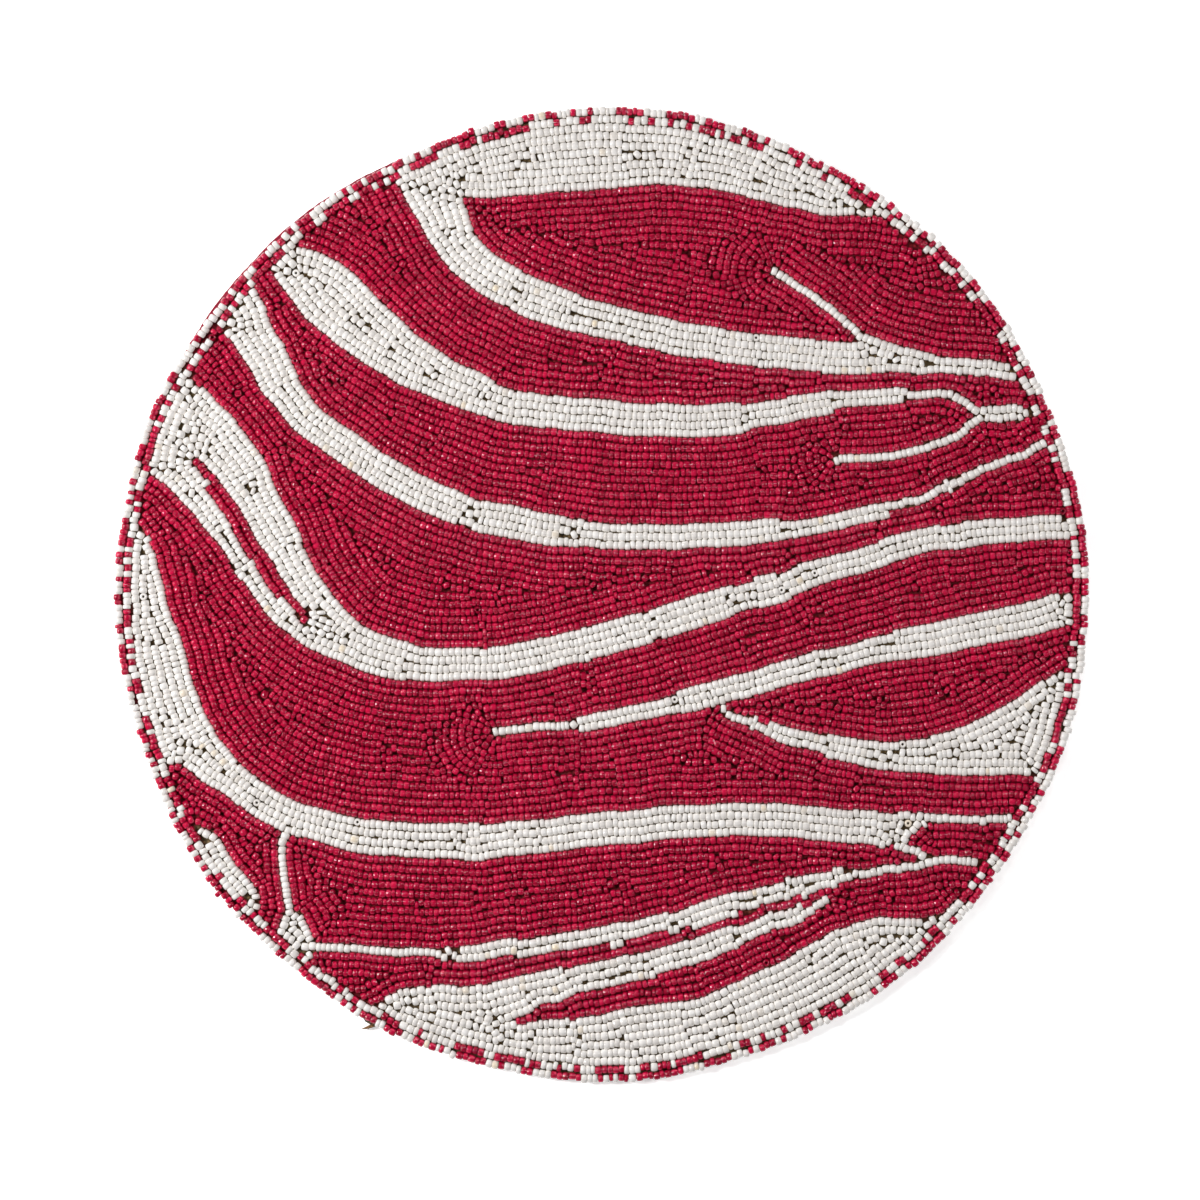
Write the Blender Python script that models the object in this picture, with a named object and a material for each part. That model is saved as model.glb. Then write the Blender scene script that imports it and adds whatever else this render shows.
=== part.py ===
"""Round beaded placemat: felt backing, canvas ground, a layer of sewn glass beads and two beaded rim rows.

The origin is the middle of the underside. +Z is up, +Y points to the back of the table setting.
All lengths are in metres, all angles in degrees, counted anticlockwise from +X.
"""

from math import cos, exp, pi, radians, sin

import bmesh
import bpy

# Driving dimensions
MAT_RADIUS = 0.190  # mean reach of the outer rim row
FELT_THICKNESS = 0.0010
CANVAS_THICKNESS = 0.0010
BEAD_DIAMETER = 0.0030
GAP = 0.0003  # between pieces that touch
ROW_PITCH = BEAD_DIAMETER + GAP
FELT_INSET = 0.0003  # felt and canvas inside the outer rim row's outer side
CANVAS_INSET = 0.0008

# Heights of the layers above the table
FELT_TOP = FELT_THICKNESS
CANVAS_BOTTOM = FELT_TOP + GAP
CANVAS_TOP = CANVAS_BOTTOM + CANVAS_THICKNESS
BEAD_BOTTOM = CANVAS_TOP + GAP
BEAD_MIDDLE = BEAD_BOTTOM + BEAD_DIAMETER / 2
BEAD_TOP = BEAD_BOTTOM + BEAD_DIAMETER

# Facets
RIM_STEPS = 180  # round the mat
CANVAS_STEPS = 360  # round the canvas, finer for its small tab
ROW_SIDES = 8  # of a rim row's section
FIELD_LOOPS = 7  # between the middle and the rounded edge of the bead field
EDGE_LOOPS = 4  # of the bead field's rounded edge

# Where the hand-sewn outline swells out (+) or draws in (-): angle, rise in mm, half width in degrees
OUTLINE_SWELLS = (
    (7, 0.4, 7),
    (24, -0.9, 8),
    (40, 0.7, 9),
    (66, -0.4, 6),
    (81, 0.8, 9),
    (113, -1.9, 12),
    (141, -1.1, 9),
    (158, 0.4, 6),
    (182, 0.8, 7),
    (200, -0.6, 8),
    (215, 0.6, 6),
    (230, -0.4, 6),
    (242, 0.6, 6),
    (272, 0.9, 8),
    (291, -0.9, 8),
    (324, -1.1, 12),
    (342, 0.6, 6),
)

# Where canvas shows between the two rim rows: angle, extra gap in mm, half width in degrees
ROW_PARTINGS = (
    (148, 1.1, 6),
    (285, 0.5, 7),
)

# Where the felt shows outside the beads: angle, extra reach in mm, half width in degrees
FELT_SWELLS = (
    (114, 0.7, 16),
    (143, 1.4, 6),
    (206, 0.8, 9),
    (230, 0.6, 7),
    (256, 0.8, 9),
    (280, 0.5, 6),
)

# The canvas's frayed tab: angle, extra reach in mm, half width in degrees
CANVAS_SWELLS = ((241.5, 2.6, 0.9),)

# Low waves of the beaded face: waves across the mat in x and in y, height in mm, phase in degrees
FACE_WAVES = (
    (1.5, 0.6, 0.10, 30),
    (-0.8, 2.1, 0.08, 120),
    (2.6, -1.7, 0.06, 250),
)

# Base colours in linear light, with roughness
FELT_FINISH = ((0.195, 0.007, 0.022), 0.95)
CANVAS_FINISH = ((0.105, 0.066, 0.036), 0.90)
RED_FINISH = ((0.480, 0.010, 0.045), 0.32)
WHITE_FINISH = ((0.740, 0.715, 0.665), 0.34)


def swell(angle, table):
    """Sum of the table's soft swells at this angle, in metres."""
    total = 0.0
    for centre, rise_mm, half_width in table:
        away = (angle - centre + 180) % 360 - 180
        total += rise_mm / 1000 * exp(-((away / half_width) ** 2))
    return total


def rim_radius(angle):
    """Reach of the outer rim row's outer side."""
    return MAT_RADIUS + swell(angle, OUTLINE_SWELLS)


def inner_rim_radius(angle):
    """Reach of the inner rim row's outer side."""
    return rim_radius(angle) - ROW_PITCH - swell(angle, ROW_PARTINGS)


def field_radius(angle):
    """Reach of the bead field's outer side."""
    return inner_rim_radius(angle) - ROW_PITCH


def felt_radius(angle):
    return rim_radius(angle) - FELT_INSET + swell(angle, FELT_SWELLS)


def canvas_radius(angle):
    return rim_radius(angle) - CANVAS_INSET + swell(angle, CANVAS_SWELLS)


def face_rise(x, y):
    """How far the beaded face stands above or below its mean height here."""
    total = 0.0
    for across_x, across_y, height_mm, phase in FACE_WAVES:
        turn = pi * (across_x * x + across_y * y) / MAT_RADIUS
        total += height_mm / 1000 * sin(turn + radians(phase))
    return total


def loop_of(bm, steps, radius_at, height_at):
    """A closed loop of points round the mat, from a radius by angle and a height by place."""
    points = []
    for step in range(steps):
        angle = 360 * step / steps
        radius = radius_at(angle)
        x = radius * cos(radians(angle))
        y = radius * sin(radians(angle))
        points.append(bm.verts.new((x, y, height_at(x, y))))
    return points


def bridge(bm, lower, upper):
    """Faces between two loops of the same number of points, the second one above or further in."""
    count = len(lower)
    for i in range(count):
        j = (i + 1) % count
        bm.faces.new((lower[i], lower[j], upper[j], upper[i]))


def finish_object(bm, name, finish, crease=40):
    """Turns the bmesh into a named object with its own material."""
    bmesh.ops.recalc_face_normals(bm, faces=bm.faces)
    mesh = bpy.data.meshes.new(name)
    bm.to_mesh(mesh)
    bm.free()
    mesh.shade_smooth()
    mesh.set_sharp_from_angle(angle=radians(crease))
    colour, roughness = finish
    material = bpy.data.materials.new(name)
    material.use_nodes = True
    shader = material.node_tree.nodes["Principled BSDF"]
    shader.inputs["Base Color"].default_value = (*colour, 1.0)
    shader.inputs["Roughness"].default_value = roughness
    shader.inputs["Metallic"].default_value = 0.0
    mesh.materials.append(material)
    shape = bpy.data.objects.new(name, mesh)
    bpy.context.scene.collection.objects.link(shape)
    return shape


def cloth_round(name, steps, radius_at, bottom, top, finish):
    """A flat round of cloth: two outlines with a cut edge between them."""
    bm = bmesh.new()
    low = loop_of(bm, steps, radius_at, lambda x, y: bottom)
    high = loop_of(bm, steps, radius_at, lambda x, y: top)
    bridge(bm, low, high)
    bm.faces.new(reversed(low))
    bm.faces.new(high)
    return finish_object(bm, name, finish)


def rim_row(name, radius_at, finish):
    """One row of beads along the rim, as a ring of a bead's section whose outer side is at that radius."""
    half = BEAD_DIAMETER / 2
    corner = half / cos(pi / ROW_SIDES)
    bm = bmesh.new()
    loops = []
    for side in range(ROW_SIDES):
        turn = 2 * pi * (side + 0.5) / ROW_SIDES
        out = corner * cos(turn) - half
        height = BEAD_MIDDLE + corner * sin(turn)
        loops.append(
            loop_of(
                bm,
                RIM_STEPS,
                lambda angle, out=out: radius_at(angle) + out,
                lambda x, y, height=height: height,
            )
        )
    for side in range(ROW_SIDES):
        bridge(bm, loops[side], loops[(side + 1) % ROW_SIDES])
    return finish_object(bm, name, finish, crease=60)


def bead_field(name, finish):
    """The sewn layer inside the rim rows: a slab with a bead's round at its edge and low waves on its face."""
    half = BEAD_DIAMETER / 2
    bm = bmesh.new()
    loops = []
    for step in range(EDGE_LOOPS + 1):
        turn = radians(-90 + 180 * step / EDGE_LOOPS)
        reach = half * (cos(turn) - 1)
        lift = half * sin(turn)
        share = step / EDGE_LOOPS
        loops.append(
            loop_of(
                bm,
                RIM_STEPS,
                lambda angle, reach=reach: field_radius(angle) + reach,
                lambda x, y, lift=lift, share=share: BEAD_MIDDLE + lift + share * face_rise(x, y),
            )
        )
    for step in range(1, FIELD_LOOPS):
        share = 1 - step / FIELD_LOOPS
        loops.append(
            loop_of(
                bm,
                RIM_STEPS,
                lambda angle, share=share: share * (field_radius(angle) - half),
                lambda x, y: BEAD_TOP + face_rise(x, y),
            )
        )
    for lower, upper in zip(loops, loops[1:]):
        bridge(bm, lower, upper)
    middle = bm.verts.new((0.0, 0.0, BEAD_TOP + face_rise(0.0, 0.0)))
    last = loops[-1]
    for i in range(RIM_STEPS):
        bm.faces.new((last[i], last[(i + 1) % RIM_STEPS], middle))
    bm.faces.new(reversed(loops[0]))
    return finish_object(bm, name, finish)


def clear_scene():
    for shape in list(bpy.data.objects):
        bpy.data.objects.remove(shape, do_unlink=True)


def main():
    clear_scene()
    cloth_round("backing_cloth", RIM_STEPS, felt_radius, 0.0, FELT_TOP, FELT_FINISH)
    cloth_round("ground_cloth", CANVAS_STEPS, canvas_radius, CANVAS_BOTTOM, CANVAS_TOP, CANVAS_FINISH)
    bead_field("bead_field", RED_FINISH)
    rim_row("edge_row_inner", inner_rim_radius, WHITE_FINISH)
    rim_row("edge_row_outer", rim_radius, RED_FINISH)


main()
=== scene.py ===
"""Looks of a round beaded placemat: seed beads sewn in rows on brown canvas, with a red felt back.

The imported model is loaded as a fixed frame. The bead rows are laid out in millimetres, seen from above
(x to the right, y up the picture, the mat's middle at 0, 0), and turned into meshes in metres at the end.
"""

import random
from math import atan2, ceil, cos, degrees, exp, hypot, pi, radians, sin

import bpy
import numpy as np
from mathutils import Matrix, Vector


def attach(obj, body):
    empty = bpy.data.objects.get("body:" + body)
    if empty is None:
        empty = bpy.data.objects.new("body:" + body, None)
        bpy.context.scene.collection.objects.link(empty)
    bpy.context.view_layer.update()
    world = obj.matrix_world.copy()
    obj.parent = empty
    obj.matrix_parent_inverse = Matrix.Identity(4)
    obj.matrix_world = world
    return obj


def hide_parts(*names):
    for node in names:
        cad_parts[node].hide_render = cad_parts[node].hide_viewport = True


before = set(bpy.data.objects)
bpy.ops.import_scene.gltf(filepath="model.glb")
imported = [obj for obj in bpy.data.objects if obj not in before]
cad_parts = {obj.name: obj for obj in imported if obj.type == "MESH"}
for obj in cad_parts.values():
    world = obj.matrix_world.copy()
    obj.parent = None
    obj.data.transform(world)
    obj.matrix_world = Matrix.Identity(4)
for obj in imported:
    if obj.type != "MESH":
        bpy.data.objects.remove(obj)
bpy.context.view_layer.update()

MM = 0.001

# Sizes shared with the part's source, in millimetres
MAT_RADIUS = 190.0
BEAD_WIDTH = 3.0
ROW_PITCH = 3.3
FELT_INSET = 0.3
CANVAS_INSET = 0.8
FELT_TOP = 1.15
CANVAS_TOP = 3.0
BEAD_BOTTOM = 2.6
BEAD_MIDDLE = 4.1

# Swells of the outline: angle, rise in mm, half width in degrees
OUTLINE_SWELLS = (
    (7, 0.4, 7), (24, -0.9, 8), (40, 0.7, 9), (66, -0.4, 6), (81, 0.8, 9), (113, -1.9, 12),
    (141, -1.1, 9), (158, 0.4, 6), (182, 0.8, 7), (200, -0.6, 8), (215, 0.6, 6), (230, -0.4, 6),
    (242, 0.6, 6), (272, 0.9, 8), (291, -0.9, 8), (324, -1.1, 12), (342, 0.6, 6),
)
# Where the rim rows part: angle, width in mm, half width in degrees
ROW_PARTINGS = ((148, 1.1, 6), (285, 0.5, 7))
# Where the rim rows lie further in and leave the felt's edge bare
DRAWN_IN = ((117, 0.8, 9), (131, 1.3, 9), (145, 0.8, 7))
FELT_SWELLS = (
    (114, 0.5, 16), (133, 0.5, 10), (143, 0.9, 6), (206, 0.8, 9), (230, 0.6, 7), (256, 0.8, 9),
    (280, 0.5, 6),
)
CANVAS_SWELLS = ((241.5, 2.6, 0.9),)
# Slow waves of the face: waves across x, waves across y, height in mm, phase in degrees
FACE_WAVES = ((1.5, 0.6, 0.10, 30), (-0.8, 2.1, 0.08, 120), (2.6, -1.7, 0.06, 250))

# The bead work
# Off-white bands: x, y, width in mm
BANDS = {
    "under_top": (
        (190, 83, 5), (176, 85, 5), (161.5, 87.3, 6), (133, 89.6, 8.2), (95, 93, 12), (55, 96, 13),
        (0, 107, 14), (-38, 121, 15), (-56, 136, 17), (-63.5, 152, 19), (-71, 166, 21),
    ),
    "under_top_fork": (
        (130.3, 91.8, 3.4), (117, 94, 3.4), (101.5, 100.6, 3.4), (91, 109.5, 3.4), (81, 117.5, 3.4),
        (68, 126, 3.4),
    ),
    "top": (
        (-58, 172, 34), (-30, 174, 36), (0, 175.5, 33), (25, 176, 31), (47, 173, 29), (72.6, 164.5, 26),
        (92, 157, 17), (108, 150.4, 6), (124, 146, 3),
    ),
    "second": (
        (-146, 152, 6), (-136, 143, 9), (-124, 130.5, 12), (-108, 118, 25), (-86, 99, 22), (-58, 82, 16),
        (-25, 72, 13), (40, 68, 12), (95, 76, 8), (130, 78.5, 4), (141, 75.5, 3.4), (148, 71.2, 4.6),
        (153, 70.4, 6.6), (161, 70.3, 6.4), (167, 71.6, 3.6), (182, 71.6, 3.4),
    ),
    "second_fork": ((149, 69, 3.4), (142.6, 65, 3.4), (128, 58, 3.4), (110, 54, 3.4), (92, 53, 3)),
    "third": (
        (-158, 134, 19), (-143.3, 113.4, 19), (-132.9, 95.7, 16), (-112, 66, 13), (-60, 35, 12),
        (0, 23, 11), (70, 25, 8), (120, 36, 5), (150.4, 49.3, 3.4), (163, 54.6, 3.4), (175, 60.6, 3.4),
        (186, 66, 3.4),
    ),
    "middle": (
        (-184, 80, 40), (-169.5, 66.3, 38), (-154, 52.5, 36), (-137, 27, 30), (-121, 0, 25), (-99, -19, 17),
        (-62, -28, 13), (-12, -21, 12), (62, 1, 11), (120, 19, 10.2), (157, 25.1, 10), (181, 26, 9.6),
        (200, 26.6, 9.6),
    ),
    "under_middle": (
        (196, -2.5, 13), (182.9, -5.6, 13), (159.6, -11.3, 13), (100, -24, 11), (48, -38, 9),
        (0, -49, 6), (-42, -54, 3.4),
    ),
    "wedge": (
        (198, -48, 52), (176, -53.5, 36), (148, -60.2, 20.5), (128, -63, 14), (100, -62, 10),
        (72, -55, 6.4), (48, -46, 3.4),
    ),
    "left": (
        (182, -87.5, 3.4), (159.5, -88, 3.4), (134.2, -88, 3.6), (126, -88.4, 4.2), (118, -91.3, 9.6),
        (110, -92.5, 12.8), (60, -88, 12.8), (0, -92, 13), (-60, -97, 14), (-115, -90, 13),
        (-145, -72.5, 13), (-160, -58, 18), (-168.5, -42, 21), (-174, -18, 17), (-178, 3, 11.5),
        (-181, 17, 11), (-187, 29, 6),
    ),
    "left_foot": ((-184, -58, 14), (-168, -60.5, 12)),
    "lens": (
        (-158.8, -91, 4), (-153.6, -96, 6.4), (-148.3, -103.8, 6.6), (-143.9, -109.8, 6.6),
        (-139.8, -115, 6.6), (-136.6, -120, 5),
    ),
    "knot": ((-122, -124.5, 4.5), (-120.8, -129, 9), (-120.5, -133, 13), (-118, -137.5, 13)),
    "knot_up": (
        (-122, -126, 3.4), (-122.7, -123.5, 3.4), (-124.1, -111.2, 3.4), (-125, -100, 3.4), (-122, -90, 4),
    ),
    "lower": (
        (-118, -137.6, 3.4), (-102.5, -138.4, 3.4), (-81.5, -140.3, 3.4), (-45, -140, 6), (20, -130, 8),
        (70, -116, 8), (104, -108.6, 4.4), (117.2, -107, 3.4), (127, -105, 3.4), (136, -104.6, 3.4),
        (149, -105.8, 3.4), (168, -110, 3.4),
    ),
    "lower_fork": ((129.5, -103.8, 3.4), (123.1, -101.4, 3.4), (116, -97.8, 4), (108, -94, 4)),
    "foot_fork": (
        (-104, -170, 12), (-88, -169.5, 18), (-74, -167.5, 25), (-62, -166.5, 25.4), (-45, -161.5, 17),
        (-15, -152.5, 12), (30, -141.5, 10), (66, -129, 6.4), (88, -120, 3),
    ),
    "foot": (
        (-66, -172, 12), (-44.3, -177.6, 20), (-9.6, -182.8, 33), (27, -181, 41), (47.4, -176.8, 42),
        (68.6, -169.7, 46), (91.5, -158.5, 47), (108, -147, 40), (121, -137.5, 20), (131, -129.5, 7),
        (142, -122, 4),
    ),
}
# Red slivers inside the off-white, the same
SLIVERS = {
    "split": (
        (-158.3, 51.8, 3.4), (-155, 46.5, 5), (-147, 35, 6.6), (-135, 16, 6.8), (-125, 1, 5),
        (-116, -9, 3.4),
    ),
}
# Slow waver of the bands' edges: waves across x, waves across y, height in mm, phase in degrees
EDGE_WAVER = ((9, 4, 0.22, 20), (-5, 11, 0.20, 160), (14, -12, 0.16, 80), (17, 15, 0.12, 300))
# Where off-white rows turn to run along the rim: from angle, to angle
RIM_FOLLOWED = ((-50, -8), (-5, 2), (50, 122), (128, 137), (144, 164), (170, 222), (228, 320))
# Beads that stand on end and show their hole: x, y of some, and the share of the others that may join them
UPRIGHT = ((180.9, 30.9), (180.5, -17.2), (-151.8, 99.4), (182.5, 15.7), (-121.3, 126.3))
UPRIGHT_SHARE = 0.004
UPRIGHT_FROM_LENGTH = 2.3
UPRIGHT_SIZE = (2.3, 2.75)
# Frayed threads at the lower left, in mm: middle and spread of where they start and end
TUFT_ROOT = ((-87.4, -168.0, 2.4), (0.4, 0.4, 0.25))
TUFT_TIP = ((-93.4, -170.5, 1.9), (0.9, 0.15, 0.3))

# Bead sizes: mean and spread in mm, and the least and most
BEAD_LENGTHS = {"red": (2.12, 0.32), "white": (2.26, 0.36)}
BEAD_WIDTHS = {"red": (2.90, 0.13), "white": (3.02, 0.14)}
LENGTH_LIMITS = (1.4, 3.1)
WIDTH_LIMITS = (2.6, 3.3)
# How much plumper a bead's mesh is than the box it was laid as, so that rows touch
PLUMP = 1.05
# How many beads of a colour follow each other in the rim rows
RIM_RUNS = {"red": (1, 1, 1, 1, 2, 2, 3, 3, 5, 8), "white": (1, 1, 1, 2, 2, 2, 3, 3, 4, 6)}
FIELD_PITCH = 3.2
# Bands narrower than this get one row of beads along their middle
THIN_BAND = 5.0
# How far out a field bead's middle may lie when a row is laid, and when an open place is filled
ROW_LIMIT = MAT_RADIUS - 5
FILL_LIMIT = MAT_RADIUS - 4
# How unevenly beads lie: sideways in mm, turned in radians, and the least and most gap to the next in mm
RIM_SIDEWAYS, RIM_TURN, RIM_GAP = 0.17, 0.07, (0.02, 0.12)
ROW_SIDEWAYS, ROW_TURN, ROW_GAP = 0.08, 0.06, (0.03, 0.15)
# How bead meshes vary: tilt in radians, height in mm, and share of the width at each point
TILT_SPREAD, HEIGHT_SPREAD, LUMP_SPREAD = 0.05, 0.05, 0.02
# Sideways moves and turns that a bead is tried with in an open place, and how much overlap each costs
TRIED_MOVES, MOVE_COST = (0, 0.35, -0.35, 0.7, -0.7), 0.05
TRIED_TURNS, TURN_COST = (0, 0.22, -0.22), 0.3
# In an open place: the shortest bead, the gap between beads, and the sharpest turn of the rows followed
SHORTEST, FILL_GAP, SHARPEST_TURN = 1.5, 0.09, 0.9
# How far a bead may reach over the colours' border
OVER_BORDER = 0.2
# Settling: pairs looked at, most overlap pushed at once, share of it pushed, how far rim rows give way
TOUCH_REACH, MOST_PUSH, PUSH_SHARE, RIM_GIVE = 4.4, 0.5, 0.45, 0.25
# Further than any bead that matters
FAR = 9.0
# Rounds of filling and settling: least opening, overlap let pass, steps, hold, room round a bead
FILLINGS = (
    (1.9, 0.6, 40, 0.02, 0.02),
    (1.8, 0.7, 70, 0.004, 0.13),
    (1.75, 0.75, 60, 0.002, 0.08),
    (1.75, 0.75, 40, 0, 0.02),
)

# Grid on which the rows are found
CELL = 0.5
# How far from the colours' border its distance is kept
COLOUR_REACH = 4 * CELL
HALF_CELLS = 386
COUNT = 2 * HALF_CELLS + 1
AXIS = (np.arange(COUNT) - HALF_CELLS) * CELL
GRID_X, GRID_Y = np.meshgrid(AXIS, AXIS)
GRID_RADIUS = np.hypot(GRID_X, GRID_Y)
GRID_ANGLE = np.degrees(np.arctan2(GRID_Y, GRID_X))
# Bins by which beads find their neighbours, and the most squared distance at which two can overlap
BIN = 4.0
NEAR_SQUARED = 18


def swell(angle, table):
    """Rise of the outline at an angle, in millimetres."""
    total = 0.0
    for centre, rise, half_width in table:
        away = (angle - centre + 180) % 360 - 180
        total += rise * exp(-((away / half_width) ** 2))
    return total


def outline_radius(angle):
    """The mat's own outline, without what the felt and canvas add."""
    return MAT_RADIUS + swell(angle, OUTLINE_SWELLS)


def rim_radius(angle):
    """Outer side of the outer rim row."""
    return outline_radius(angle) - swell(angle, DRAWN_IN)


def inner_rim_radius(angle):
    """Outer side of the inner rim row."""
    return rim_radius(angle) - ROW_PITCH - swell(angle, ROW_PARTINGS)


def field_radius(angle):
    """Outer side of the bead field."""
    return inner_rim_radius(angle) - ROW_PITCH


def felt_radius(angle):
    return outline_radius(angle) - FELT_INSET + swell(angle, FELT_SWELLS)


def canvas_radius(angle):
    return rim_radius(angle) - CANVAS_INSET + swell(angle, CANVAS_SWELLS)


def with_waves(total, table, x, y):
    """Adds slow waves to a number or an array, at places in millimetres."""
    for across_x, across_y, height, phase in table:
        turn = pi * (across_x * x + across_y * y) / MAT_RADIUS
        total = total + height * np.sin(turn + radians(phase))
    return total


def face_rise(x, y):
    """Height of the face's slow waves, in millimetres."""
    return with_waves(0.0, FACE_WAVES, x, y)


# Where the colours meet, and the field that rows follow
def smooth_line(rows, step=1.5):
    """Points on a smooth curve through the rows of a table, every column blended alike."""
    rows = [np.array(row, float) for row in rows]
    knots = [2 * rows[0] - rows[1], *rows, 2 * rows[-1] - rows[-2]]
    points = []
    for before, start, end, after in zip(knots, knots[1:], knots[2:], knots[3:]):
        count = max(2, ceil(hypot(*(end - start)[:2]) / step))
        for t in np.arange(count) / count:
            bend = 2 * before - 5 * start + 4 * end - after
            twist = 3 * start - before - 3 * end + after
            points.append(0.5 * (2 * start + (end - before) * t + bend * t**2 + twist * t**3))
    points.append(rows[-1])
    return np.array(points)


def band_distance(table):
    """Distance from the edge of the table's bands, negative inside them, and at most COLOUR_REACH."""
    field = np.full((COUNT, COUNT), COLOUR_REACH)
    lines = [smooth_line(rows) for rows in table.values()]
    for a, b in (ends for points in lines for ends in zip(points, points[1:])):
        reach = max(a[2], b[2]) / 2 + COLOUR_REACH
        low = np.floor((np.minimum(a, b)[:2] - reach) / CELL).astype(int) + HALF_CELLS
        high = np.ceil((np.maximum(a, b)[:2] + reach) / CELL).astype(int) + HALF_CELLS
        (x0, y0), (x1, y1) = np.clip(low, 0, COUNT), np.clip(high, 0, COUNT)
        if x0 >= x1 or y0 >= y1:
            continue
        x = GRID_X[y0:y1, x0:x1] - a[0]
        y = GRID_Y[y0:y1, x0:x1] - a[1]
        way = (b - a)[:2]
        t = np.clip((x * way[0] + y * way[1]) / max(1e-9, way @ way), 0, 1)
        gap = np.hypot(x - t * way[0], y - t * way[1]) - (a[2] + t * (b[2] - a[2])) / 2
        field[y0:y1, x0:x1] = np.minimum(field[y0:y1, x0:x1], gap)
    return field


def colour_field():
    """Negative where beads are off-white, positive where they are red, and a distance near the border."""
    field = np.maximum(band_distance(BANDS), -band_distance(SLIVERS))
    return with_waves(np.clip(field, -COLOUR_REACH, COLOUR_REACH), EDGE_WAVER, GRID_X, GRID_Y)


def border_points(field):
    """For each cell beside the border, the nearest point of it on the cell's grid lines, else nan."""
    near_x = np.full(field.shape, np.nan)
    near_y = np.full(field.shape, np.nan)
    best = np.full(field.shape, np.inf)

    def offer(row, column, x, y):
        distance = np.hypot(GRID_X[row, column] - x, GRID_Y[row, column] - y)
        better = distance < best[row, column]
        row, column = row[better], column[better]
        near_x[row, column] = x[better]
        near_y[row, column] = y[better]
        best[row, column] = distance[better]

    for down, across in ((0, 1), (1, 0)):
        here, onward = field[: COUNT - down, : COUNT - across], field[down:, across:]
        row, column = np.nonzero(np.sign(here) != np.sign(onward))
        share = here[row, column] / (here[row, column] - onward[row, column])
        x, y = AXIS[column] + across * share * CELL, AXIS[row] + down * share * CELL
        for side in (0, 1):
            offer(row + down * side, column + across * side, x, y)
    return near_x, near_y


def shifted(step):
    """The slices that move a grid's cells by a step, as a list of (to, from) for all eight ways."""
    moves = []
    for by in (-step, 0, step):
        moves.append((slice(max(0, by), COUNT + min(0, by)), slice(max(0, -by), COUNT + min(0, -by))))
    pairs = [tuple(zip(down, across)) for down in moves for across in moves]
    # The middle one doesn't move
    return pairs[:4] + pairs[5:]


def distance_to(near_x, near_y):
    """Distance from each cell to the nearest point, by handing the points on in ever shorter jumps."""
    best = np.hypot(GRID_X - near_x, GRID_Y - near_y)
    best[np.isnan(best)] = np.inf
    step = 256
    while step >= 1:
        for to, source in shifted(step):
            x, y = near_x[source], near_y[source]
            distance = np.hypot(GRID_X[to] - x, GRID_Y[to] - y)
            better = distance < best[to]
            best[to] = np.where(better, distance, best[to])
            near_x[to] = np.where(better, x, near_x[to])
            near_y[to] = np.where(better, y, near_y[to])
        step //= 2
    return best


def blurred(field, sigma):
    """Gaussian blur, with sigma in cells."""
    reach = ceil(3 * sigma)
    weights = np.exp(-0.5 * (np.arange(-reach, reach + 1) / sigma) ** 2)
    weights /= weights.sum()
    down = np.pad(field, ((reach, reach), (0, 0)), mode="edge")
    field = sum(w * down[k : k + COUNT] for k, w in enumerate(weights))
    across = np.pad(field, ((0, 0), (reach, reach)), mode="edge")
    return sum(w * across[:, k : k + COUNT] for k, w in enumerate(weights))


def field_edge():
    """The field's own radius in each cell's direction."""
    angles = np.arange(-180, 181)
    return np.interp(GRID_ANGLE, angles, [field_radius(angle) for angle in angles])


def row_field(colours, edge):
    """Signed distance that rows follow: from the border, and in the off-white from the rim too."""
    near_x, near_y = border_points(colours)
    red = distance_to(near_x.copy(), near_y.copy())
    followed = np.zeros(colours.shape, bool)
    for start, end in RIM_FOLLOWED:
        away = (GRID_ANGLE - (start + end) / 2 + 180) % 360 - 180
        followed |= np.abs(away) < (end - start) / 2
    to_rim = np.abs(GRID_RADIUS - edge)
    at_rim = (to_rim < 0.8 * CELL) & followed & (colours < 0)
    at_rim &= ~(np.hypot(GRID_X - near_x, GRID_Y - near_y) < to_rim)
    share = edge / np.maximum(GRID_RADIUS, 1)
    near_x[at_rim] = (GRID_X * share)[at_rim]
    near_y[at_rim] = (GRID_Y * share)[at_rim]
    white = distance_to(near_x, near_y)
    return blurred(np.where(colours < 0, -white, red), 1.6)


def row_headings(rows):
    """The direction in which rows run at each cell. Both sides of a ridge agree on it."""
    slope_y, slope_x = np.gradient(rows, CELL)
    xx, xy, yy = (blurred(part, 3.0) for part in (slope_x**2, slope_x * slope_y, slope_y**2))
    return 0.5 * np.arctan2(2 * xy, xx - yy) + pi / 2


# Which sides of a grid square a contour joins, by the corners above it (1, 2, 4 and 8, anticlockwise)
SQUARE_SIDES = {
    1: (("bottom", "left"),),
    2: (("bottom", "right"),),
    3: (("left", "right"),),
    4: (("right", "top"),),
    5: (("bottom", "right"), ("left", "top")),
    6: (("bottom", "top"),),
    7: (("left", "top"),),
    10: (("bottom", "left"), ("right", "top")),
}


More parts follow.
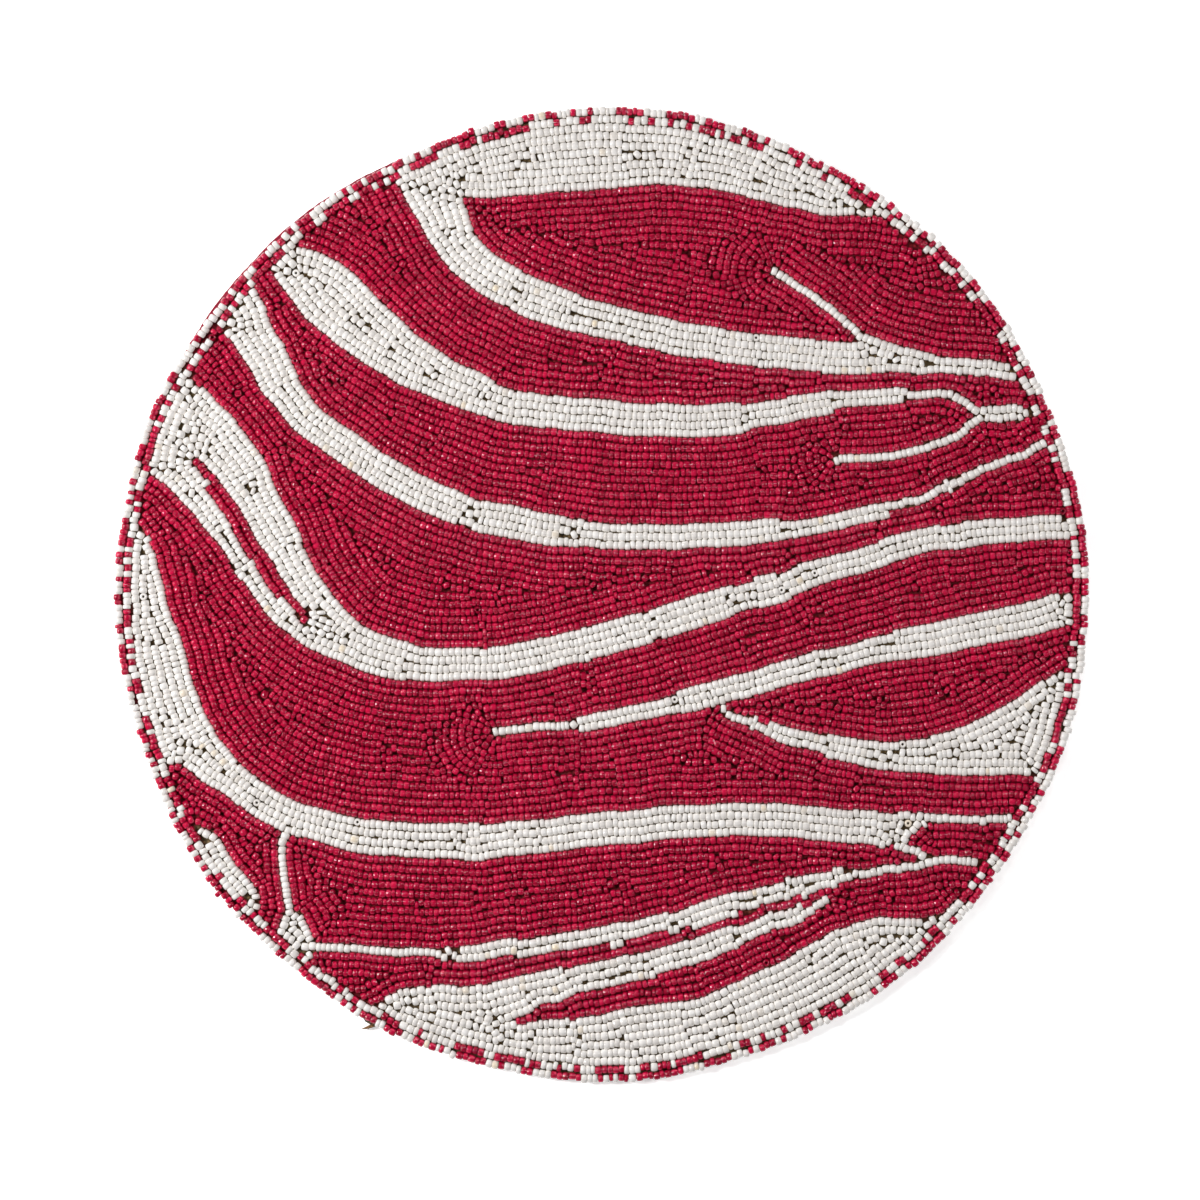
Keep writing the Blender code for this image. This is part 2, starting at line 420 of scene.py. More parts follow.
def contours(field, level):
    """The lines along which field has this level, each as an array of points."""
    lift = field - level
    lift[lift == 0] = 1e-9
    above = lift > 0
    code = above[:-1, :-1] * 1 + above[:-1, 1:] * 2 + above[1:, 1:] * 4 + above[1:, :-1] * 8
    links = {}
    for row, column in np.argwhere((code > 0) & (code < 15)).tolist():
        corner = int(code[row, column])
        sides = {
            "bottom": (row, column, 0, 1),
            "right": (row, column + 1, 1, 0),
            "top": (row + 1, column, 0, 1),
            "left": (row, column, 1, 0),
        }
        for one, other in SQUARE_SIDES.get(corner) or SQUARE_SIDES[15 - corner]:
            links.setdefault(sides[one], []).append(sides[other])
            links.setdefault(sides[other], []).append(sides[one])

    def place(side):
        row, column, down, across = side
        here = lift[row, column]
        share = here / (here - lift[row + down, column + across])
        return AXIS[column] + across * share * CELL, AXIS[row] + down * share * CELL

    lines = []
    used = set()
    for start in [side for side, ends in links.items() if len(ends) == 1] + list(links):
        if start in used:
            continue
        chain = [start]
        used.add(start)
        while True:
            onward = [side for side in links[chain[-1]] if side not in used]
            if not onward:
                break
            chain.append(onward[0])
            used.add(onward[0])
        points = [place(side) for side in chain]
        if len(chain) > 2 and start in links[chain[-1]]:
            half = len(points) // 2
            points = points[half:] + points[: half + 1]
        if len(points) > 3:
            lines.append(np.array(points))
    return lines


# Laying beads
class Beads:
    """The beads laid so far, as x, y, heading, length, width, colour and row, and bins to find them by."""

    def __init__(self):
        self.laid = []
        self.bins = {}

    def add(self, x, y, heading, length, width, colour, row="field"):
        self.laid.append((x, y, heading, length, width, colour, row))
        self.bins.setdefault((int(x // BIN), int(y // BIN)), []).append(len(self.laid) - 1)
        return len(self.laid) - 1

    def near(self, x, y):
        column, row = int(x // BIN), int(y // BIN)
        for i in (column - 1, column, column + 1):
            for j in (row - 1, row, row + 1):
                yield from self.bins.get((i, j), ())

    def overlap(self, x, y, heading, length, width, skip, enough):
        """How deep a bead here would reach into another, as upright boxes seen from above."""
        worst = -FAR
        ca, sa = cos(heading), sin(heading)
        for other in self.near(x, y):
            if other == skip:
                continue
            ox, oy, turn, long, wide = self.laid[other][:5]
            dx, dy = ox - x, oy - y
            if dx * dx + dy * dy > NEAR_SQUARED:
                continue
            cb, sb = cos(turn), sin(turn)
            c, s = abs(ca * cb + sa * sb), abs(sa * cb - ca * sb)
            depth = min(
                (length + c * long + s * wide) / 2 - abs(dx * ca + dy * sa),
                (width + s * long + c * wide) / 2 - abs(dy * ca - dx * sa),
                (long + c * length + s * width) / 2 - abs(dx * cb + dy * sb),
                (wide + s * length + c * width) / 2 - abs(dy * cb - dx * sb),
            )
            if depth > worst:
                worst = depth
                if worst > enough:
                    break
        return worst

    def move_all(self, x, y):
        self.bins.clear()
        for n, bead in enumerate(self.laid):
            self.laid[n] = (float(x[n]), float(y[n]), *bead[2:])
            self.bins.setdefault((int(x[n] // BIN), int(y[n] // BIN)), []).append(n)


def drawn_size(dice, colour):
    """Length and width of the next bead."""
    tables = ((BEAD_LENGTHS, LENGTH_LIMITS), (BEAD_WIDTHS, WIDTH_LIMITS))
    return [min(most, max(least, dice.gauss(*sizes[colour]))) for sizes, (least, most) in tables]


def lay_rim(beads, dice):
    """The two rim rows, which mix the colours at random."""
    for row, radius_at in (("edge_row_outer", rim_radius), ("edge_row_inner", inner_rim_radius)):
        angle, colour, left, wander = 0.0, "red", 3, 0.0
        while angle < 359.4:
            length, width = drawn_size(dice, colour)
            wander = 0.4 * wander + dice.gauss(0, RIM_SIDEWAYS)
            radius = radius_at(angle) - BEAD_WIDTH / 2
            turn = degrees(length / radius)
            middle = radians(angle + turn / 2)
            x, y = (radius + wander) * cos(middle), (radius + wander) * sin(middle)
            beads.add(x, y, middle + pi / 2 + dice.gauss(0, RIM_TURN), length, width, colour, row)
            angle += turn + degrees(dice.uniform(*RIM_GAP) / radius)
            left -= 1
            if left <= 0:
                colour = "white" if colour == "red" else "red"
                left = dice.choice(RIM_RUNS[colour])


def lay_row(beads, dice, points, colour, tolerance=0.5):
    """Beads in a row along a line, with a gap where others are in the way."""
    steps = np.hypot(*np.diff(points, axis=0).T)
    ways = np.concatenate([[0], np.cumsum(steps)])

    def point(way):
        return float(np.interp(way, ways, points[:, 0])), float(np.interp(way, ways, points[:, 1]))

    at = dice.uniform(0, 0.4)
    last = -1
    length, width = drawn_size(dice, colour)
    while at + length <= ways[-1] + 0.5:
        middle = at + length / 2
        x, y = point(middle)
        if hypot(x, y) > ROW_LIMIT:
            at += 1.0
            last = -1
            continue
        (x0, y0), (x1, y1) = point(middle - 1.2), point(middle + 1.2)
        heading = atan2(y1 - y0, x1 - x0)
        if beads.overlap(x, y, heading, length, width, last, tolerance) > tolerance:
            at += 0.3
            last = -1
            continue
        side = dice.gauss(0, ROW_SIDEWAYS)
        x, y = x - side * sin(heading), y + side * cos(heading)
        last = beads.add(x, y, heading + dice.gauss(0, ROW_TURN), length, width, colour)
        at += length + dice.uniform(*ROW_GAP)
        length, width = drawn_size(dice, colour)


def lay_thin_bands(beads, dice):
    """One row of beads along each stretch of band that has room for no more."""
    for table, colour in ((BANDS, "white"), (SLIVERS, "red")):
        for rows in table.values():
            points = smooth_line(rows)
            thin = np.concatenate([[False], points[:, 2] < THIN_BAND, [False]])
            starts = np.nonzero(~thin[:-1] & thin[1:])[0]
            ends = np.nonzero(thin[:-1] & ~thin[1:])[0]
            for start, end in zip(starts, ends):
                if end - start > 3:
                    lay_row(beads, dice, points[start:end, :2], colour)


def lay_field(beads, dice, rows):
    """Rows one after another from the colours' border inwards, red and off-white in turn."""
    level = 0.5
    found = True
    while found:
        found = False
        for sign, colour in ((1, "red"), (-1, "white")):
            for points in contours(rows, sign * level * FIELD_PITCH):
                if np.hypot(*points.T).min() < MAT_RADIUS and len(points) > 6:
                    found = True
                    lay_row(beads, dice, points, colour)
        level += 1


def cell_of(x, y):
    return int(round(y / CELL)) + HALF_CELLS, int(round(x / CELL)) + HALF_CELLS


def crosses_border(colours, x, y, heading, colour):
    """Whether a bead here would lie partly on the other colour's side."""
    c, s = cos(heading), sin(heading)
    sign = -1 if colour == "white" else 1
    spots = ((0.8 * c, 0.8 * s), (-0.8 * c, -0.8 * s), (-0.9 * s, 0.9 * c), (0.9 * s, -0.9 * c))
    return any(colours[cell_of(x + dx, y + dy)] * sign < -OVER_BORDER for dx, dy in spots)


def best_fit(beads, colours, x, y, heading, length, width, colour, skip, tolerance):
    """The least overlap for a bead moved a little sideways or turned, and where that is."""
    across_x, across_y = -sin(heading), cos(heading)
    best = (FAR, x, y, heading)
    for side in TRIED_MOVES:
        for turn in TRIED_TURNS:
            px, py = x + across_x * side, y + across_y * side
            if crosses_border(colours, px, py, heading + turn, colour):
                continue
            depth = beads.overlap(px, py, heading + turn, length, width, skip, tolerance + 0.2)
            depth += MOVE_COST * abs(side) + TURN_COST * abs(turn)
            if depth < best[0]:
                best = (depth, px, py, heading + turn)
    return best


def grow_row(beads, dice, colours, headings, x, y, tolerance):
    """A short row through an open place, both ways along the rows' direction as far as there is room."""
    cell = cell_of(x, y)
    colour = "white" if colours[cell] < 0 else "red"
    length, width = drawn_size(dice, colour)
    for shorter in (0, 0.5):
        length = max(SHORTEST, length - shorter)
        fit = best_fit(beads, colours, x, y, headings[cell], length, width, colour, -1, tolerance)
        if fit[0] <= tolerance:
            break
    else:
        return
    first = beads.add(*fit[1:], length, width, colour)
    for way in (1, -1):
        last, (_, px, py, heading), last_length = first, fit, length
        while True:
            next_length, width = drawn_size(dice, colour)
            reach = way * ((last_length + next_length) / 2 + FILL_GAP)
            px, py = px + cos(heading) * reach, py + sin(heading) * reach
            if hypot(px, py) > FILL_LIMIT:
                break
            cell = cell_of(px, py)
            if ("white" if colours[cell] < 0 else "red") != colour:
                break
            turn = (headings[cell] - heading + pi / 2) % pi - pi / 2
            if abs(turn) > SHARPEST_TURN:
                break
            heading += turn / 2
            onward = best_fit(beads, colours, px, py, heading, next_length, width, colour, last, tolerance)
            if onward[0] > tolerance:
                break
            last = beads.add(*onward[1:], next_length, width, colour)
            _, px, py, heading = onward
            last_length = next_length


def open_places(beads, edge, least):
    """The middles of the places whose nearest bead is at least so far away, widest first."""
    near = np.full((COUNT, COUNT), FAR)
    centres = np.array([bead[:2] for bead in beads.laid])
    cells = np.round(centres / CELL).astype(int) + HALF_CELLS
    for down in range(-8, 9):
        for across in range(-8, 9):
            row, column = cells[:, 1] + down, cells[:, 0] + across
            inside = (row >= 0) & (row < COUNT) & (column >= 0) & (column < COUNT)
            row, column = row[inside], column[inside]
            away = np.hypot(AXIS[column] - centres[inside, 0], AXIS[row] - centres[inside, 1])
            np.minimum.at(near, (row, column), away)
    widest = near > least
    for to, source in shifted(1):
        widest[to] &= near[to] >= near[source]
    row, column = np.nonzero(widest & (GRID_RADIUS < edge - 1))
    order = np.argsort(-near[row, column], kind="stable")
    return [(float(AXIS[column[n]]), float(AXIS[row[n]])) for n in order]


def fill(beads, dice, colours, headings, edge, least, tolerance):
    for x, y in open_places(beads, edge, least):
        away = min(hypot(beads.laid[n][0] - x, beads.laid[n][1] - y) for n in beads.near(x, y))
        if away >= least:
            grow_row(beads, dice, colours, headings, x, y, tolerance)


def close_pairs(x, y, reach):
    """Every pair of points less than reach apart both ways, as two arrays of indices."""
    order = np.argsort(x, kind="stable")
    x, y = x[order], y[order]
    count = np.searchsorted(x, x + reach) - np.arange(len(x)) - 1
    first = np.repeat(np.arange(len(x)), count)
    second = first + 1 + np.arange(len(first)) - np.repeat(np.cumsum(count) - count, count)
    close = np.abs(y[first] - y[second]) < reach
    return order[first[close]], order[second[close]]


def settle(beads, rounds, hold, room):
    """Pushes beads apart in small steps where they overlap or lie less than twice the room apart.

    Each is held by a weak pull to where it was laid."""
    start_x, start_y, heading, half_length, half_width = np.array([bead[:5] for bead in beads.laid]).T
    half_length, half_width = half_length / 2 + room / 3, half_width / 2 + room
    give = np.array([1.0 if bead[6] == "field" else RIM_GIVE for bead in beads.laid])
    x, y = start_x.copy(), start_y.copy()
    c, s = np.cos(heading), np.sin(heading)
    for n in range(rounds):
        if n % 10 == 0:
            i, j = close_pairs(x, y, TOUCH_REACH)
        dx, dy = x[j] - x[i], y[j] - y[i]
        cc = np.abs(c[i] * c[j] + s[i] * s[j])
        ss = np.abs(s[i] * c[j] - c[i] * s[j])
        depths = []
        for a, b in ((i, j), (j, i)):
            along, across = np.abs(dx * c[a] + dy * s[a]), np.abs(dy * c[a] - dx * s[a])
            depths.append(half_length[a] + cc * half_length[b] + ss * half_width[b] - along)
            depths.append(half_width[a] + ss * half_length[b] + cc * half_width[b] - across)
        which, depth = np.argmin(depths, 0), np.min(depths, 0)
        hit = depth > 0
        p, q, which, depth, dx, dy = i[hit], j[hit], which[hit], depth[hit], dx[hit], dy[hit]
        owner = np.where(which < 2, p, q)
        endways = which % 2 == 0
        normal_x = np.where(endways, c[owner], -s[owner])
        normal_y = np.where(endways, s[owner], c[owner])
        push = np.minimum(depth, MOST_PUSH) * PUSH_SHARE * np.sign(dx * normal_x + dy * normal_y)
        push /= give[p] + give[q]
        for at, normal in ((x, normal_x), (y, normal_y)):
            onto_q, onto_p = (np.bincount(end, push * normal, len(x)) for end in (q, p))
            at += give * onto_q - give * onto_p
        x += hold * (start_x - x)
        y += hold * (start_y - y)
    beads.move_all(x, y)


def nearest(beads, x, y):
    return min(range(len(beads)), key=lambda n: hypot(beads[n][0] - x, beads[n][1] - y))


def lay_beads(dice, colours):
    """All beads of the mat."""
    edge = field_edge()
    rows = row_field(colours, edge)
    headings = row_headings(rows)
    beads = Beads()
    lay_rim(beads, dice)
    lay_thin_bands(beads, dice)
    lay_field(beads, dice, rows)
    for least, tolerance, rounds, hold, room in FILLINGS:
        fill(beads, dice, colours, headings, edge, least, tolerance)
        settle(beads, rounds, hold, room)
    return beads.laid


# Meshes
def ring_template(ring_angles, profile, capped):
    """Points and faces of a bead with its axis along x: rings of points, joined into a skin.

    profile gives each ring's place along the bead (-0.5 to 0.5) and its radius (1 is the bead's own).
    Without caps the last ring joins the first, through the hole."""
    sides = len(ring_angles)
    points = []
    for along, radius in profile:
        for angle in ring_angles:
            points.append((along, radius * cos(radians(angle)), radius * sin(radians(angle))))
    faces = []
    rings = len(profile)
    for ring in range(rings if not capped else rings - 1):
        onward = (ring + 1) % rings
        for k in range(sides):
            turned = (k + 1) % sides
            here, there = ring * sides, onward * sides
            faces.append((here + k, here + turned, there + turned, there + k))
    if capped:
        faces.append(tuple(range(sides))[::-1])
        faces.append(tuple((rings - 1) * sides + k for k in range(sides)))
    return np.array(points), faces


SOLID_PROFILE = ((-0.5, 0.72), (-0.39, 0.96), (0.0, 1.02), (0.39, 0.96), (0.5, 0.72))
OPEN_PROFILE = (
    (-0.5, 0.64), (-0.34, 0.96), (0.0, 1.02), (0.34, 0.96), (0.5, 0.64), (0.46, 0.40), (0.0, 0.32),
    (-0.46, 0.40),
)
FIELD_BEAD = ring_template((-48, 10, 62, 118, 170, 228), SOLID_PROFILE, True)
RIM_BEAD = ring_template(range(0, 360, 45), SOLID_PROFILE, True)
OPEN_BEAD = ring_template(range(0, 360, 26), OPEN_PROFILE, False)


def add_object(name, data):
    thing = bpy.data.objects.new(name, data)
    bpy.context.scene.collection.objects.link(thing)
    return thing


def mesh_from_arrays(name, points, corners, starts, smooth=True):
    """A mesh object from points, the faces' corners, where each face starts and which are smooth."""
    mesh = bpy.data.meshes.new(name)
    mesh.vertices.add(len(points))
    mesh.vertices.foreach_set("co", np.ascontiguousarray(points, np.float32).ravel())
    mesh.loops.add(len(corners))
    mesh.loops.foreach_set("vertex_index", np.ascontiguousarray(corners, np.int32))
    mesh.polygons.add(len(starts))
    mesh.polygons.foreach_set("loop_start", np.ascontiguousarray(starts, np.int32))
    mesh.polygons.foreach_set("use_smooth", np.zeros(len(starts), bool) + smooth)
    mesh.update(calc_edges=True)
    mesh.validate()
    return add_object(name, mesh)


def add_colours(piece, name, colours):
    attribute = piece.data.color_attributes.new(name, "FLOAT_COLOR", "POINT")
    attribute.data.foreach_set("color", colours.ravel())


def corners_of(faces):
    """The faces' corners in a row, and where each face starts."""
    starts = np.cumsum([0] + [len(face) for face in faces[:-1]])
    return np.concatenate([np.array(face) for face in faces]), starts


def band_faces(here, there, sides):
    """The faces between two rings of points, which begin at these numbers."""
    return [(here + k, there + k, there + (k + 1) % sides, here + (k + 1) % sides) for k in range(sides)]


def bead_piece(name, beads, template, dice, upright=False):
    """One piece with a copy of the template for each bead.

    Its colour attribute keeps the bead's tone, the height on the bead, and the closeness to its ends."""
    shape, faces = template
    count = len(beads)
    x, y, heading, length, width = np.array([bead[:5] for bead in beads]).T
    width = width * PLUMP
    noise = np.random.default_rng(dice.randrange(1 << 30))
    pitch = np.full(count, pi / 2) if upright else noise.normal(0, TILT_SPREAD, count)
    height = np.full(count, BEAD_MIDDLE) + noise.normal(0, HEIGHT_SPREAD, count)
    if upright:
        height = BEAD_BOTTOM + length / 2 + 0.1
    middle = np.stack([x, y, height + face_rise(x, y)], 1)
    ahead_x, ahead_y = np.cos(heading), np.sin(heading)
    axis = np.stack([ahead_x * np.cos(pitch), ahead_y * np.cos(pitch), np.sin(pitch)], 1)
    side = np.stack([-ahead_y, ahead_x, np.zeros(count)], 1)
    over = np.cross(axis, side)
    lump = noise.normal(1, LUMP_SPREAD, (count, len(shape), 1))
    points = middle[:, None] + axis[:, None] * shape[None, :, :1] * length[:, None, None]
    for way, share in ((side, shape[None, :, 1:2]), (over, shape[None, :, 2:])):
        points = points + way[:, None] * share * width[:, None, None] / 2 * lump
    corners, starts = corners_of(faces)
    all_corners = corners[None] + np.arange(count)[:, None] * len(shape)
    all_starts = starts[None] + np.arange(count)[:, None] * len(corners)
    smooth = np.tile([len(face) == 4 for face in faces], count)
    points = points.reshape(-1, 3) * MM
    piece = mesh_from_arrays(name, points, all_corners.ravel(), all_starts.ravel(), smooth)
    tone = np.ones((count, len(shape), 4), np.float32)
    tone[:, :, 0] = noise.uniform(0, 1, count)[:, None]
    tone[:, :, 1] = 1 if upright else 0.5 + shape[:, 2] / 2
    tone[:, :, 2] = 2 * np.abs(shape[:, 0])
    add_colours(piece, "bead_tone", tone)
    return piece


# Share of a cloth's radius by which its edge is rounded off
EDGE_ROUNDING = 0.0016


def cloth_round(name, radius_at, bottom, top, steps, rings, rises, fray, seed):
    """A round of cloth as one closed mesh, with its cut edge a little ragged.

    It has so many steps round it and rings from its middle out, fewer of them below."""
    noise = np.random.default_rng(seed)
    angles = np.arange(steps) * 360 / steps
    ragged = noise.normal(0, fray, steps)
    radii = np.array([radius_at(angle) for angle in angles]) + ragged
    shares = [((k + 1) / rings) ** 0.8 for k in range(rings)]
    shares[-1] = 1.0
    points = [(0, 0, top + (face_rise(0, 0) if rises else 0))]
    levels = [(share, top, rises) for share in shares[:-1]]
    levels += [(1 - EDGE_ROUNDING, top, rises), (1.0, (top + bottom) / 2, False)]
    levels += [(1 - EDGE_ROUNDING, bottom, False)]
    levels += [(share, bottom, False) for share in shares[-2::-4]]
    for share, height, risen in levels:
        x = radii * share * np.cos(np.radians(angles))
        y = radii * share * np.sin(np.radians(angles))
        z = height + (face_rise(x, y) if risen else 0 * x)
        points.extend(zip(x, y, z))
    points.append((0, 0, bottom))
    starts = [1 + ring * steps for ring in range(len(levels))]
    faces = [(0, 1 + k, 1 + (k + 1) % steps) for k in range(steps)]
    for here, there in zip(starts, starts[1:]):
        faces += band_faces(here, there, steps)
    faces += [(len(points) - 1, starts[-1] + (k + 1) % steps, starts[-1] + k) for k in range(steps)]
    return mesh_from_arrays(name, np.array(points) * MM, *corners_of(faces))


def mark_painted_red_light(piece, colours):
    """Marks where a cloth lies under red beads, in a colour attribute, where the canvas's finish paints the
    red light the glass throws.
    """
    places = np.empty(3 * len(piece.data.vertices), np.float32)
    piece.data.vertices.foreach_get("co", places)
    cells = np.round(places.reshape(-1, 3)[:, :2] / MM / CELL).astype(int) + HALF_CELLS
    cells = np.clip(cells, 0, COUNT - 1)
    tone = np.ones((len(cells), 4), np.float32)
    tone[:, 0] = np.clip(0.5 + colours[cells[:, 1], cells[:, 0]] / 2, 0, 1)
    add_colours(piece, "under_red", tone)


def frayed_tuft(name, count, sides, rings, seed):
    """Loose canvas threads that come out from under the rim, as one mesh of tapered tubes."""
    noise = np.random.default_rng(seed)
    points, faces = [], []
    for _ in range(count):
        root, tip = (np.array(middle) + noise.normal(0, spread) for middle, spread in (TUFT_ROOT, TUFT_TIP))
        bend = noise.normal(0, 0.25, 3) * (1, 1, 0.5)
        radius = noise.uniform(0.16, 0.26)
        across = np.cross(tip - root, (0, 0, 1))
        across /= np.linalg.norm(across)
        first = len(points)
        for t in np.arange(rings) / (rings - 1):
            middle = root + (tip - root) * t + bend * 4 * t * (1 - t)
            thin = radius * (1 - 0.75 * t)
            for k in range(sides):
                turn = 2 * pi * k / sides
                points.append(middle + across * cos(turn) * thin + np.array((0, 0, 1)) * sin(turn) * thin)
        for ring in range(rings - 1):
            faces += band_faces(first + ring * sides, first + (ring + 1) * sides, sides)
        for ring, way in ((0, 1), (rings - 1, -1)):
            faces.append([first + ring * sides + k for k in range(sides)][::way])
    return mesh_from_arrays(name, np.array(points) * MM, *corners_of(faces))


# Materials
# Turned so that no lattice of the noise shows on flat faces
NOISE_TURN = (0.7, 0.5, 0.4)
# A mix node's colour sockets, which share their names with its other kinds of socket
MIX_FACTOR, MIX_A, MIX_B, MIX_RESULT = 0, 6, 7, 2
# Colour of the painted glow by which beads emit a little light, standing for the light that milky glass
# passes on
MILKY = (1.0, 0.96, 0.90, 1)
# Where on a bead's height its painted glints lie: from and to full strength, below its top and above its
# side
SHOULDER = ((0.925, 0.88), (0.76, 0.83))


class Finish:
    """A material whose nodes are added one by one and linked by name."""

    def __init__(self, name, **sockets):
        self.material = bpy.data.materials.new(name)
        self.material.use_nodes = True
        self.nodes = self.material.node_tree.nodes
        self.links = self.material.node_tree.links
        self.shader = self.nodes["Principled BSDF"]
        for socket, value in sockets.items():
            self.shader.inputs[socket.replace("_", " ")].default_value = value

    def node(self, kind, inputs=None, **settings):
        node = self.nodes.new(kind)
        for name, value in settings.items():
            setattr(node, name, value)
        for name, value in (inputs or {}).items():
            if isinstance(value, bpy.types.NodeSocket):
                self.links.new(value, node.inputs[name])
            else:
                node.inputs[name].default_value = value
        return node

    def to_shader(self, name, socket):
        self.links.new(socket, self.shader.inputs[name])

    def ramp(self, factor, stops):
        """A colour ramp through stops of (place, colour)."""
        node = self.node("ShaderNodeValToRGB", {"Fac": factor})
        elements = node.color_ramp.elements
        while len(elements) < len(stops):
            elements.new(0.5)
        for element, (place, colour) in zip(elements, stops):
            element.position = place
            element.color = (*colour, 1)
        return node.outputs["Color"]

    def noise(self, scale, detail=3.0, roughness=0.55, stretch=(1, 1, 1)):
        """Noise in the object's own coordinates, scale in 1/m."""
        place = self.node("ShaderNodeTexCoord").outputs["Object"]
        turned = self.node("ShaderNodeMapping", {"Vector": place, "Rotation": NOISE_TURN, "Scale": stretch})
        inputs = {"Vector": turned.outputs["Vector"]}
        inputs |= {"Scale": scale, "Detail": detail, "Roughness": roughness}
        return self.node("ShaderNodeTexNoise", inputs).outputs["Fac"]

    def spread(self, socket, low, high, start=0.0, end=1.0):
        """Low up to start, then evenly to high at end."""
        inputs = {"Value": socket, "From Min": start, "From Max": end, "To Min": low, "To Max": high}
        return self.node("ShaderNodeMapRange", inputs).outputs["Result"]

    def step(self, socket, start, end, high=1.0):
        return self.spread(socket, 0.0, high, start, end)

    def mixed(self, factor, one, other, blend="MIX"):
        inputs = {MIX_FACTOR: factor, MIX_A: one, MIX_B: other}
        return self.node("ShaderNodeMix", inputs, data_type="RGBA", blend_type=blend).outputs[MIX_RESULT]

    def shaded(self, colour, socket, low, high):
        """The colour made darker or lighter by a value."""
        value = self.spread(socket, low, high)
        grey = self.node("ShaderNodeCombineColor", {"Red": value, "Green": value, "Blue": value})
        return self.mixed(1.0, colour, grey.outputs["Color"], "MULTIPLY")

    def product(self, one, other):
        return self.node("ShaderNodeMath", {0: one, 1: other}, operation="MULTIPLY").outputs["Value"]

    def bump(self, height, strength, distance):
        inputs = {"Height": height, "Strength": strength, "Distance": distance}
        self.to_shader("Normal", self.node("ShaderNodeBump", inputs).outputs["Normal"])


def bead_finish(
    name, stops, flank_light_colour, end_shade_colour, end_shade_share, painted_glint_colour, painted_glint_share, rough, gloss, glow
):
    """Glass bead: each bead its own tone, clouded, with painted light on its flanks and painted shade at
    its ends.

    The flanks take a painted colour that stands for light passing through the glass into the gaps between
    rows, paler on the off-white. The ends take painted shade where beads meet: dark on the red glass, only
    a warm tint on the off-white. Painted glints run along both shoulders, standing for light that comes
    back from the wall of the hole. A little glow, painted light from a bead that is no lamp, stands for the
    light that milky glass passes on from bead to bead."""
    # Painted light: a little glow, though the bead is no lamp, stands for light that milky glass passes on
    finish = Finish(name, Specular_IOR_Level=gloss, Emission_Strength=glow, Emission_Color=MILKY)
    tone = finish.node("ShaderNodeAttribute", attribute_name="bead_tone").outputs["Color"]
    parts = finish.node("ShaderNodeSeparateColor", {"Color": tone}).outputs
    haze = finish.noise(420, 2.0)
    base = finish.shaded(finish.ramp(parts["Red"], stops), haze, 0.84, 1.16)
    # Painted light on the flanks: a colour that stands for light passing through the glass into the gaps
    # between rows
    base = finish.mixed(finish.step(parts["Green"], 0.92, 0.5), base, (*flank_light_colour, 1))
    # Painted shade at the ends, where beads meet: dark on the red glass, only a warm tint on the off-white
    base = finish.mixed(finish.step(parts["Blue"], 0.6, 1.0, end_shade_share), base, (*end_shade_colour, 1))
    # Painted glints along both shoulders, a lighter colour standing for light that comes back from the wall
    # of the hole
    below_top, above_side = (finish.step(parts["Green"], *ends) for ends in SHOULDER)
    shoulder = finish.product(below_top, above_side)
    glint = finish.product(shoulder, finish.step(finish.noise(520, 1.0), 0.42, 0.62, painted_glint_share))
    base = finish.mixed(glint, base, (*painted_glint_colour, 1))
    finish.to_shader("Base Color", base)
    finish.to_shader("Roughness", finish.spread(haze, *rough))
    finish.bump(finish.noise(900, 1.0), 0.3, 0.0004)
    return finish.material


def canvas_finish():
    """Coarse brown canvas: over-and-under threads, darker between them, with painted red light under the
    red glass.
    """
    finish = Finish("canvas_weave", Specular_IOR_Level=0.2)
    place = finish.node("ShaderNodeTexCoord").outputs["Object"]
    wave = {"Vector": place, "Scale": 160, "Distortion": 0.8, "Detail": 1.0}
    warp = finish.node("ShaderNodeTexWave", wave, bands_direction="X").outputs["Fac"]
    weft = finish.node("ShaderNodeTexWave", wave, bands_direction="Y").outputs["Fac"]
    weave = finish.product(warp, weft)
    stops = ((0.3, (0.07, 0.044, 0.018)), (0.6, (0.14, 0.093, 0.042)), (0.8, (0.22, 0.155, 0.078)))
    tint = finish.shaded(finish.ramp(finish.noise(300, 5.0), stops), weave, 0.45, 1.1)
    under_red = finish.node("ShaderNodeAttribute", attribute_name="under_red").outputs["Color"]
    under_red = finish.node("ShaderNodeSeparateColor", {"Color": under_red}).outputs["Red"]
    # Painted light: the red glass throws its colour on the canvas between its rows, so the canvas is tinted
    # red under it
    painted_red_light = finish.mixed(under_red, (1, 1, 1, 1), (1.5, 0.05, 0.28, 1))
    finish.to_shader("Base Color", finish.mixed(1.0, tint, painted_red_light, "MULTIPLY"))
    finish.to_shader("Roughness", finish.spread(finish.noise(500), 0.82, 0.98))
    finish.bump(weave, 0.8, 0.0004)
    return finish.material


def fray_finish():
    """Loose brown threads."""
    finish = Finish("loose_threads", Specular_IOR_Level=0.15, Roughness=0.9)
    stops = ((0.3, (0.14, 0.066, 0.025)), (0.7, (0.34, 0.19, 0.085)))
    finish.to_shader("Base Color", finish.ramp(finish.noise(900, 3.0), stops))
    finish.bump(finish.noise(2500, 2.0), 0.4, 0.0002)
    return finish.material


def felt_finish():
    """Pressed red felt: matted fibres and a little pilling."""
    finish = Finish("pressed_felt", Specular_IOR_Level=0.1, Sheen_Weight=0.08, Sheen_Roughness=0.5)
    fibres = finish.noise(1500, 5.0, 0.7, (1, 0.6, 1))
    patches = finish.noise(120, 4.0)
    stops = ((0.3, (0.15, 0.005, 0.016)), (0.55, (0.27, 0.011, 0.032)), (0.75, (0.38, 0.026, 0.058)))
    finish.to_shader("Base Color", finish.shaded(finish.ramp(fibres, stops), patches, 0.8, 1.15))
    finish.to_shader("Roughness", finish.spread(fibres, 0.85, 1.0))
    finish.bump(fibres, 0.4, 0.0003)
    return finish.material


